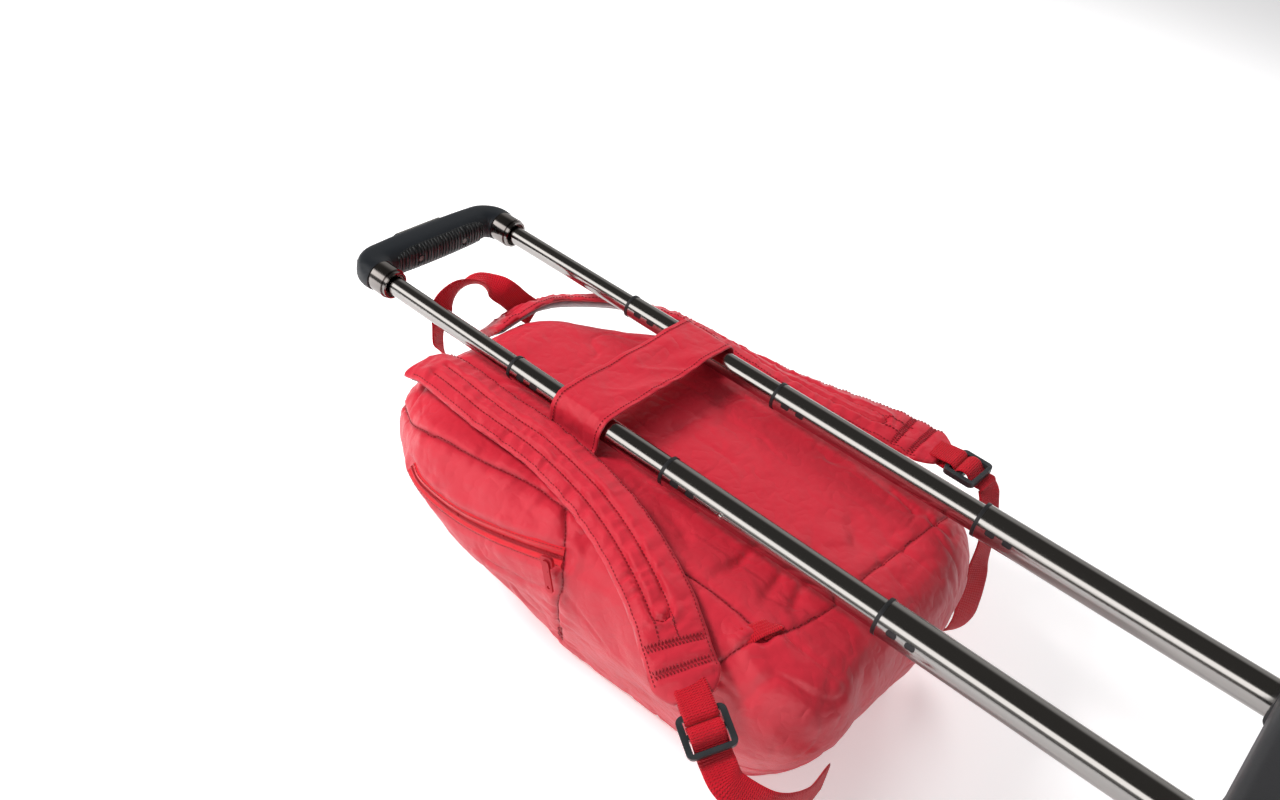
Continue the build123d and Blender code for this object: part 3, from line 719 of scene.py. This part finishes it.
def zipper(name, rows, tape_node):
    """Tape let into the fabric with a row of coil teeth down its middle."""
    line, normals = snap_to(skin, rows, 2.5)
    for _ in range(6):
        normals[1:-1] = unit(normals[:-2] + normals[1:-1] + normals[2:])
        line[1:-1] = (line[:-2] + 2 * line[1:-1] + line[2:]) / 4

    def top(s, v):
        lip = bell(np.abs(v) - TAPE_LIP, 1.6)
        edge = clip01((np.abs(v) - 7.5) / 1.5)
        return 0.6 + (1.2 * lip - 0.9 * edge) + 0.3 * along_noise(s, 9, 71, v, 4)

    verts, faces, uv, _ = strap_mesh(line, normals, TAPE_HALF, top, lambda s, v: -1.6 + 0 * v, 25)
    tape = mesh_object(name + "_tape", verts, faces, "zip_tape", crease=0.9, uv=uv)
    across, out = frames_of(line, normals)
    teeth = []
    for row in curve_through(np.hstack([line, across, out]), 1.25)[0]:
        place, side, up = row[:3], row[3:6], row[6:]
        teeth.append((np.array([place + up - side * COIL_HALF, place + up + side * COIL_HALF]),
                      np.array([up, up])))
    verts, faces = thread_mesh(teeth, radius=0.5, pitch=3.8, gap=0.0)
    mesh_object(name + "_coil", verts, faces, "zip_metal")
    edges = [(line + across * side * (TAPE_LIP + 1) + out * 1.75, out) for side in (-1, 1)]
    stitches(name + "_threads", edges, radius=0.28, pitch=3.2)
    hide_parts(tape_node)


zipper("pocket_zip", ZIP, "side_zip")
zipper("main_zip", MAIN_ZIP, "main_zip")


# ---- shoulder straps
# Stations of each strap's middle line: x, y, z and roll in degrees.
STRAPS = {
    "left": [(-117, 229, 163, 0), (-117, 204, 169.5, 0), (-121, 143, 170.5, 3), (-121, 86, 171, 5),
             (-131, 28, 171, 8), (-148, -24, 169.5, 10), (-170, -74, 162, 12),
             (-193, -112, 153, 16), (-206, -138, 144, 20)],
    "right": [(-22, 252, 139, -44), (20, 252, 145, -42), (52, 252, 142, -41), (78, 244, 140, -39),
              (108, 218, 141, -37), (124, 189, 143, -36), (138, 146, 145, -38), (139, 101, 147, -36),
              (139, 61, 149, -26), (140, 15, 151, -16), (143, -30, 153.5, -6), (150, -90, 157, 3),
              (150, -130, 158, 4)],
}
HALF, MESH_HALF = 25.0, 22.5
STRAP_COLUMNS = 47


def rolled_normal(along, roll):
    """Outer normal of a strap that runs along, turned by roll from facing up."""
    across = unit(np.cross([0, 0, 1], along))
    across = across * np.cos(roll) + np.cross(along, across) * np.sin(roll)
    return np.cross(along, across)


def strap_threads(name, s, width, upper, out, channel, tacks):
    """Thread along the sewn channel, in a zigzag over each tack and inside both edges."""
    columns = np.linspace(-1, 1, STRAP_COLUMNS)

    def on_strap(at, v):
        """A spot a little above the strap's upper face, with its normal."""
        place = [np.interp(at, s, [np.interp(v / w, columns, row[:, k]) for w, row in zip(width, upper)])
                 for k in range(3)]
        way = np.array([np.interp(at, s, out[:, k]) for k in range(3)])
        return np.array(place) + way * 0.25, way

    def run(flat_points):
        places, ways = zip(*(on_strap(at, v) for at, v in flat_points))
        return np.array(places), np.array(ways)

    dense, _ = curve_through(np.column_stack([channel, np.zeros(len(channel))]), 2.4)
    runs = [run(dense[:, :2])]
    for tack in tacks:
        rungs = np.arange(4 - HALF, HALF - 3.5, 1.25)
        places, ways = run([(tack + (3.2 if k % 2 else -3.2), v) for k, v in enumerate(rungs)])
        runs += [(places[k:k + 2], ways[k:k + 2]) for k in range(len(places) - 1)]
    stops = np.arange(10, s[-1] - 12, 2.4)
    for sign in (-1, 1):
        runs.append(run([(at, sign * (np.interp(at, s, width) - 2.6)) for at in stops]))
    stitches(name + "_threads", runs, radius=0.4, pitch=3.4)


def shoulder_strap(side, seed, lean):
    """Padded strap with a sewn channel shaped like a long U, and its grey mesh underside."""
    name = f"strap_pad_{side}"
    line, s = curve_through(STRAPS[side], 1.9)
    centre = line[:, :3]
    normal = rolled_normal(unit(np.gradient(centre, axis=0)), np.radians(line[:, 3])[:, None])
    long = s[-1]
    channel = np.array([(24, -7), (long - 66, -7), (long - 60, -5.4), (long - 57, 0), (long - 60, 5.4),
                        (long - 66, 7), (24, 7)], float) + (0, lean)
    tacks = (long - 40, long - 22)

    def half(at):
        narrow = clip01((at - (long - 16)) / 16) ** 1.5
        neck = clip01((26 - at) / 26)
        ruffle = 0.5 * along_noise(at, 8, seed + 1)
        return HALF * (1 - 0.42 * narrow) - 2 * neck + ruffle

    def top(at, v):
        width = half(at[:, 0])[:, None]
        edge = clip01(np.abs(v) / width)
        puff = 6.6 * np.sqrt(clip01(1 - edge**3.4)) - 2.2
        gap = near(np.stack([at.ravel(), v.ravel()], 1), channel)[0].reshape(at.shape)
        slant = at + 0.25 * v + 3 * along_noise(at, 40, seed + 7, v, 25)
        pucker = 1 - 2.2 * np.abs(along_noise(slant, 7.5, seed, v, 17))
        pucker = pucker + 0.5 * along_noise(slant, 15, seed + 2, v, 26)
        near_line = np.exp(-(gap / 8) ** 1.5)
        height = puff - 2.4 * bell(gap, 1.9) + 0.7 * bell(gap - 5, 3.5)
        height += 1.75 * pucker * (0.4 + 0.7 * near_line) * (1 - bell(gap, 2.2)) - 0.6
        height += 0.6 * along_noise(at, 30, seed + 5, v, 30)
        height += 0.9 * along_noise(at, 7.5, seed + 3) * bell(edge - 0.93, 0.1)
        for tack in tacks:
            height -= 1.7 * bell(at - tack, 4.2)
        flatten = clip01((at - (long - 16)) / 14)
        return np.where(edge > 0.999, -2.0, height * (1 - 0.55 * flatten))

    def bottom(at, v):
        edge = clip01(np.abs(v) / half(at[:, 0])[:, None])
        return -2.0 - 1.9 * np.sqrt(clip01(1 - edge**4))

    verts, faces, uv, (upper, out) = strap_mesh(centre, normal, half(s), top, bottom, STRAP_COLUMNS)
    pad = mesh_object(name, verts, faces, "nylon", uv=uv)
    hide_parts(f"strap_{side}")

    def under(at, v):
        edge = clip01(np.abs(v) / MESH_HALF)
        return -4.1 - 2.1 * np.sqrt(clip01(1 - edge**4)) + 0.3 * along_noise(at, 11, seed + 9, v, 11)

    inner = slice(4, -9)
    verts, faces, uv, _ = strap_mesh(centre[inner], normal[inner], MESH_HALF,
                                     lambda at, v: -3.2 + 0 * v, under, 21)
    back = mesh_object(name + "_mesh", verts, faces, "spacer_mesh", uv=uv)
    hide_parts(f"strap_mesh_{side}")
    strap_threads(name, s, half(s), upper, out, channel, tacks)


shoulder_strap("left", 101, -3.5)
shoulder_strap("right", 151, -1.5)


# ---- webbing
def webbing(name, rows, half=12.5, thick=1.8, step=1.6):
    """Ribbed webbing through (place, normal) rows."""
    line, _ = curve_through(rows, step)
    centre, normal = line[:, :3], unit(line[:, 3:])

    def top(at, v):
        edge = clip01(np.abs(v) / half)
        return thick / 2 * np.sqrt(np.clip(1 - edge**10, 0.05, 1)) + 0.12 * along_noise(at, 12, 5, v, 9)

    verts, faces, uv, _ = strap_mesh(centre, normal, half, top, lambda at, v: -top(at, v), 19)
    return mesh_object(name, verts, faces, "webbing", uv=uv)


loop = webbing("haul_loop_webbing", [
    (-70, 246, 132, -0.75, 0.64, -0.1),
    (-69, 262, 141, -0.51, 0.84, -0.18),
    (-65, 268, 158, -0.34, 0.92, -0.18),
    (-58, 272, 172, -0.01, 0.94, -0.35),
    (-43, 276, 179, -0.21, 0.98, 0.03),
    (-19, 280, 177, 0.11, 0.62, 0.78),
    (4, 281, 168, 0.23, -0.50, 0.83),
    (17, 268, 160, -0.37, -0.87, 0.32),
    (31, 260, 145, -0.33, -0.93, 0.18),
    (41, 250, 136, -0.3, -0.9, 0.3)])
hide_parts("haul_loop")
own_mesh(loop)


# Webbing at a buckle: distance past the strap's end, height over it, turn in degrees.
# WRAP goes round the first bar, THREADED over the middle one and under the last.
WRAP = [(-16, 1.2, 0), (-6, 2.4, 0), (2, 3.2, 0), (9, 4.0, 0), (12.4, 4.1, 0), (15.2, 2.6, 50),
        (16.1, 0, 90), (15.2, -2.6, 130), (12.4, -3.9, 180), (6, -3.8, 180), (-2, -3.4, 180),
        (-12, -3.2, 180)]
THREADED = [(20, -5.5, 180), (16.6, -4.6, 200), (17.6, 0.0, 250), (21, 3.2, 330), (24, 4.0, 360),
            (28, 3.0, 370), (32.5, -1.5, 385), (37, -4.2, 370), (44, -4.6, 360)]
# From the buckle down to the bag: place and normal.
HANGING = {
    "left": [[-228, -192, 122, -0.3, -0.3, 0.9], [-214, -216, 110, -0.6, -0.6, 0.5],
             [-184, -226, 98, -0.5, -0.8, 0.2], [-150, -224, 90, -0.1, -1, 0.1]],
    "right": [[149, -178, 149, 0.1, -0.3, 0.95], [137, -189, 136, 0.1, -0.6, 0.8],
              [119, -199, 125, -0.1, -0.9, 0.4], [105, -205, 112, -0.35, -0.9, 0.2],
              [99, -209, 96, -0.45, -0.88, 0.15], [96, -212, 78, -0.45, -0.88, 0.1],
              [95, -213, 60, -0.4, -0.9, 0.0], [92, -208, 45, -0.3, -0.9, -0.3],
              [86, -192, 36, -0.2, -0.7, -0.7]],
}


def past_end(stations, table, tilt=1.0):
    """Rows of webbing at a strap's buckle end; tilt is how far they lean along it."""
    before, end = (np.array(station[:3], float) for station in stations[-2:])
    go = unit(end - before)
    normal = rolled_normal(go, math.radians(stations[-1][3]))
    rows = []
    for out, up, turn in table:
        way = normal * math.cos(math.radians(turn)) + go * math.sin(math.radians(turn)) * tilt
        rows.append([*(end + go * out + normal * up), *way])
    return rows


for side, stations in STRAPS.items():
    wrap = webbing(f"buckle_wrap_{side}", past_end(stations, WRAP), half=12.2, step=1.0)
    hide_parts(f"strap_loop_{side}")
for side, hanging in HANGING.items():
    lower = webbing(f"lower_webbing_{side}", past_end(STRAPS[side], THREADED, 0.6) + hanging)
    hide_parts(f"webbing_{side}")
for name in ("buckle_left", "buckle_right"):
    round_off = nodes[name].modifiers.new("round", "BEVEL")
    round_off.width = 0.7 * MM
    round_off.segments = 3
    round_off.limit_method = "ANGLE"


# ---- grip
TUBE_X, TUBE_Z = 75.0, 178.0
GRIP_Y, FOOT_Y, BEND = 353.0, 335.1, 16.2       # bar's middle line, collar end, bend radius
SCREWS_X, RIB_PITCH = 27.0, 3.7
SEAT = 12.0             # from the third stage's middle to the detent ball's seat


def grip_outline():
    """Centre line of the grip from one collar round to the other."""
    turn = np.linspace(0, math.pi / 2, 17)
    corner = np.stack([-TUBE_X + BEND - BEND * np.cos(turn), GRIP_Y - BEND + BEND * np.sin(turn)], 1)
    leg = np.array([(-TUBE_X, FOOT_Y), (-TUBE_X, FOOT_Y + 0.9)])
    bar = np.stack([np.linspace(-TUBE_X + BEND, 0, 24)[1:], np.full(23, GRIP_Y)], 1)
    half = np.vstack([leg, corner, bar])
    return np.vstack([half, half[-2::-1] * (-1, 1)])


def grip_radii(x):
    """Half width and half height of the grip's section, fullest in the middle of the bar."""
    middle = 1 - clip01(np.abs(x) / 58) ** 2
    return 15.9 + 1.7 * middle, 13.6 + 0.5 * middle


def profile(turn, wide, high, power=2.7):
    """Points of a superellipse, a squarish oval."""
    c, s = np.cos(turn), np.sin(turn)
    return wide * np.sign(c) * np.abs(c) ** (2 / power), high * np.sign(s) * np.abs(s) ** (2 / power)


def grip_shell():
    """Soft-touch shell swept from collar to collar, rounder where it meets them."""
    plan = grip_outline()
    tangent = unit(np.gradient(plan, axis=0))
    outward = np.stack([-tangent[:, 1], tangent[:, 0]], 1)
    turn = np.linspace(0, 2 * math.pi, 56, endpoint=False)
    verts = []
    for place, side in zip(plan, outward):
        near_foot = clip01((345 - place[1]) / 10)
        wide, high = grip_radii(place[0])
        across, up = profile(turn, wide - 0.7 * near_foot, high + 0.5 * near_foot, 2.7 - 0.6 * near_foot)
        verts.append(np.column_stack([place + side * across[:, None], TUBE_Z + up]))
    faces = loft_faces(len(verts), len(turn), capped=True)
    piece = mesh_object("grip_body", np.vstack(verts), faces, "grip_rubber", body="handle", crease=1.1)
    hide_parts("grip_shell")


def grip_pad():
    """Ribbed insert on the inner face: upright ribs that follow the round of the grip."""
    x = np.linspace(-55, 55, 315)
    lean = np.linspace(-1.06, 1.06, 45)
    grid_x, grid_t = np.meshgrid(x, lean, indexing="ij")
    across, up = profile(math.pi + grid_t, *grip_radii(grid_x))
    rim = (np.abs(grid_x) / 54) ** 5 + (np.abs(grid_t) / 1.02) ** 4
    inside = clip01((1.0 - rim) / 0.16)
    ribs = clip01(0.5 + 1.4 * np.sin(grid_x * 2 * math.pi / RIB_PITCH))
    lift = inside * (0.2 + 1.3 * ribs) - 0.9 * (1 - inside)
    for screw in (-SCREWS_X, SCREWS_X):
        hole = np.hypot(grid_x - screw, up)
        lift = np.where(hole < 4.0, np.minimum(lift, -1.4 + clip01(hole - 3.2) * 2.9), lift)
    spread = 1 + lift / 15
    verts = np.stack([grid_x, GRIP_Y + across * spread, TUBE_Z - up * (1 + lift / 40)], -1)
    inner = np.stack([grid_x, GRIP_Y + across * 0.86, TUBE_Z - up * 0.9], -1)
    rows, columns = grid_x.shape
    verts = np.vstack([verts.reshape(-1, 3), inner.reshape(-1, 3)])
    shift = rows * columns
    faces = []
    for i in range(rows - 1):
        for j in range(columns - 1):
            a, d = i * columns + j, (i + 1) * columns + j
            faces += [(a, a + 1, d + 1, d), (a + shift, d + shift, d + 1 + shift, a + 1 + shift)]
    edge = [i * columns for i in range(rows)] + [(rows - 1) * columns + j for j in range(1, columns)]
    edge += [i * columns + columns - 1 for i in range(rows - 2, -1, -1)] + list(range(columns - 2, 0, -1))
    faces += [(a, b, b + shift, a + shift) for a, b in zip(edge, edge[1:] + edge[:1])]
    piece = mesh_object("grip_rib_pad", verts, faces, "grip_rib_plastic", body="handle", crease=0.8)
    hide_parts("grip_ribs")


def detent_ball():
    """Spring ball standing out of a turned seat in the tube's lower side."""
    low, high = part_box("stage3_ball")
    middle = np.array((low + high) / 2) / MM
    axis = np.array([-TUBE_X, middle[1], TUBE_Z])
    out = unit(middle - axis)
    side = np.cross(out, [0, 1, 0])
    spine = [(2.9, -0.9), (2.9, -0.05), (2.7, 0.05), (2.1, 0.05), (1.95, 0.0)]
    spine += [(1.9 * math.cos(a), 1.5 * math.sin(a)) for a in np.radians((8, 20, 32, 44, 56, 68, 79))]
    turns = np.arange(28) * 2 * math.pi / 28
    verts = []
    for radius, rise in spine:
        for turn in turns:
            ring = side * math.cos(turn) + np.array([0, 1, 0]) * math.sin(turn)
            verts.append(axis + out * (SEAT + rise) + radius * ring)
    faces = loft_faces(len(spine), len(turns), capped=True)
    piece = mesh_object("detent_ball", verts, faces, "bright_steel", body="middle_stage", crease=1.0)
    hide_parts("stage3_ball")
    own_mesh(piece)


grip_shell()
grip_pad()
detent_ball()


# ---- pass-through band
BAND_GAP = 13.9         # from a tube's middle line to the band's
BAND_COLUMNS = 41


def pass_band():
    """Hemmed band sewn down beside one tube, taken over both and sewn down again."""
    low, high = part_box("pass_band")
    foot = (low[1] / MM, high[1] / MM)
    middle, half = (foot[0] + foot[1]) / 2, (foot[1] - foot[0]) / 2
    side, turns = TUBE_X + BAND_GAP, np.radians((25, 50, 72))
    path = [(-99, 162.6), (-93, 162.8), (-89.6, 165), (-side, 170), (-side, TUBE_Z)]
    path += [(-TUBE_X - BAND_GAP * math.cos(a), TUBE_Z + BAND_GAP * math.sin(a)) for a in turns]
    path += [(-60, 191.9), (-40, 191.0), (-15, 190.2), (15, 190.0), (40, 190.8), (60, 191.8)]
    path += [(TUBE_X + BAND_GAP * math.cos(a), TUBE_Z + BAND_GAP * math.sin(a)) for a in turns[::-1]]
    path += [(side, TUBE_Z), (side, 170), (89.6, 165), (93, 162.8), (99, 162.6)]
    line, s = curve_through([(x, middle, z) for x, z in path], 1.8)
    normal = np.cross(unit(np.gradient(line, axis=0)), [0, 1, 0])

    def sag(at, v):
        """Looseness between the tubes, and gathers where the band is sewn down."""
        left = at[-1, 0] - at
        span = clip01((at - 48) / 30) * clip01((left - 48) / 30)
        fold = 2.2 * along_noise(at + 0.7 * v, 26, 301, v, 18)
        fold = fold - 2.0 * np.abs(along_noise(at + 1.1 * v, 21, 303, v, 30)) + 1.6
        tucks = 0.8 * along_noise(v, 4.2, 305, at, 26) * bell(np.minimum(at, left), 34)
        return span * fold + tucks

    def top(at, v):
        hem = 0.45 * clip01((np.abs(v) - (half - 5)) / 0.8)
        groove = 0.35 * bell(np.abs(v) - (half - 4.6), 0.7)
        ruffle = 0.25 * along_noise(at, 6, 307) * clip01((np.abs(v) - half + 9) / 9)
        return 0.55 + hem - groove + ruffle + np.maximum(sag(at, v), -0.3)

    verts, faces, uv, (upper, out) = strap_mesh(
        line, normal, half, top, lambda at, v: top(at, v) - 1.25, BAND_COLUMNS)
    band = mesh_object("band", verts, faces, "nylon", uv=uv)
    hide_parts("pass_band")
    columns = np.linspace(-half, half, BAND_COLUMNS)

    def run(v):
        """A row of thread along the band."""
        where = np.array([[np.interp(v, columns, row[:, k]) for k in range(3)] for row in upper])
        return where + out * 0.2, out

    def across_run(at):
        """A row of thread from hem to hem."""
        nearest = int(np.argmin(np.abs(s - at)))
        row, way = upper[nearest, 2:-2], out[nearest]
        return row + way * 0.2, np.tile(way, (len(row), 1))

    runs = [run(v) for v in (-half + 4, half - 4)]
    runs += [across_run(at) for at in (5, 8, s[-1] - 5, s[-1] - 8)]
    threads = stitches("band_threads", runs, radius=0.34, pitch=3.2)


pass_band()


# ---- small tabs
def corner_tab(side, rows):
    """Folded loop of fabric tape standing out of a seam."""
    piece = webbing(f"corner_tab_{side}", rows, half=7.0, thick=1.4, step=1.2)
    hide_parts(f"tab_{side}")


corner_tab("left", [
    (-152, -134, 158, -0.3, -0.3, 1), (-142, -138, 161.5, 0, 0, 1), (-131, -142, 162.5, 0.2, 0, 1),
    (-124, -144, 161, 0.9, 0, 0.3), (-127, -144, 159.2, 0, 0, -1), (-138, -140, 158.8, 0, 0, -1)])
corner_tab("right", [
    (100, -134, 152, 0, 0, 1), (108, -138, 154.5, 0, 0, 1), (118, -142, 154, 0.2, 0, 1),
    (123, -144, 151, 0.9, 0, 0.2), (118, -142, 149.5, 0, 0, -1), (106, -138, 149, 0, 0, -1)])


# ---- surroundings
def studio_floor():
    """White paper that glows a little to the eye but not in reflections."""
    bpy.ops.mesh.primitive_plane_add(size=9, location=(0, 0, -0.0005))
    floor = bpy.context.object
    floor.name = "floor"
    paper = material("paper", (0.93, 0.925, 0.925), 0.9, mottle=(2, 0.01), grain=(400, 0.1), depth=0.02,
                     specular=0.1)
    tree = paper.node_tree
    glow = tree.nodes["Principled BSDF"]
    glow.inputs["Emission Color"].default_value = (1, 0.99, 0.99, 1)
    seen_by = add(tree, "LightPath").outputs["Is Glossy Ray"]
    strength = times(tree, minus(tree, 1.0, seen_by), 0.36)
    link(tree, strength, glow.inputs["Emission Strength"])
    floor.data.materials.append(paper)


def grey_ramp(tree, value, stops):
    """Grey levels at stops of a value between -1 and 1."""
    node = add(tree, "ValToRGB")
    link(tree, times(tree, plus(tree, value, 1.0), 0.5), node.inputs[0])
    elements = node.color_ramp.elements
    for number, (spot, grey) in enumerate(stops):
        stop = elements[number] if number < 2 else elements.new(1.0)
        stop.position = (spot + 1) / 2
        stop.color = (grey, grey, grey, 1)
    return node.outputs[0]


def studio_world():
    """White to the camera, even light on fabric, a window and a dim room in the metal."""
    world = bpy.data.worlds.new("studio")
    scene.world = world
    world.use_nodes = True
    tree = world.node_tree
    tree.nodes.clear()
    x, _, z = axes(tree, add(tree, "TexCoord").outputs["Generated"])
    window = times(tree, grey_ramp(tree, x, ((-1, 1), (-0.34, 1), (-0.26, 0))),
                       grey_ramp(tree, z, ((-1, 0.05), (0.22, 0.05), (0.30, 1), (0.60, 1), (0.68, 0))))
    room = times(tree, grey_ramp(tree, x, ((-1, 0.02), (0.2, 0.03), (0.6, 0.16), (1, 0.20))),
                     grey_ramp(tree, z, ((-1, 1), (0.5, 1), (0.75, 0))))
    path = add(tree, "LightPath").outputs
    mirrored = mix_node(tree, math_node(tree, "MAXIMUM", window, room), (0.05, 0.048, 0.045, 1),
                        (1.9, 1.88, 1.85, 1))
    lit = mix_node(tree, path["Is Glossy Ray"], (0.29, 0.29, 0.295, 1), mirrored)
    seen = mix_node(tree, path["Is Camera Ray"], lit, (0.985, 0.985, 0.985, 1))
    background = add(tree, "Background")
    link(tree, seen, background.inputs[0])
    output = add(tree, "OutputWorld")
    link(tree, background.outputs[0], output.inputs[0])


# Disk lights aimed at the bag: name, place and size in metres, power in watts.
LIGHTS = [("key", (-0.9, 1.2, 1.5), 0.7, 38), ("fill", (-1.8, -0.9, 1.0), 1.2, 7),
          ("rim", (1.5, 0.3, 1.3), 0.8, 16)]


def studio_lights():
    for name, place, size, power in LIGHTS:
        light = bpy.data.lights.new(name, "AREA")
        light.shape = "DISK"
        light.size = size
        light.energy = power
        lamp = bpy.data.objects.new(name, light)
        lamp.location = place
        lamp.rotation_euler = (Vector((0, 0, 0.1)) - Vector(place)).to_track_quat("-Z", "Y").to_euler()
        lamp.visible_glossy = False
        scene.collection.objects.link(lamp)


studio_floor()
studio_world()
studio_lights()
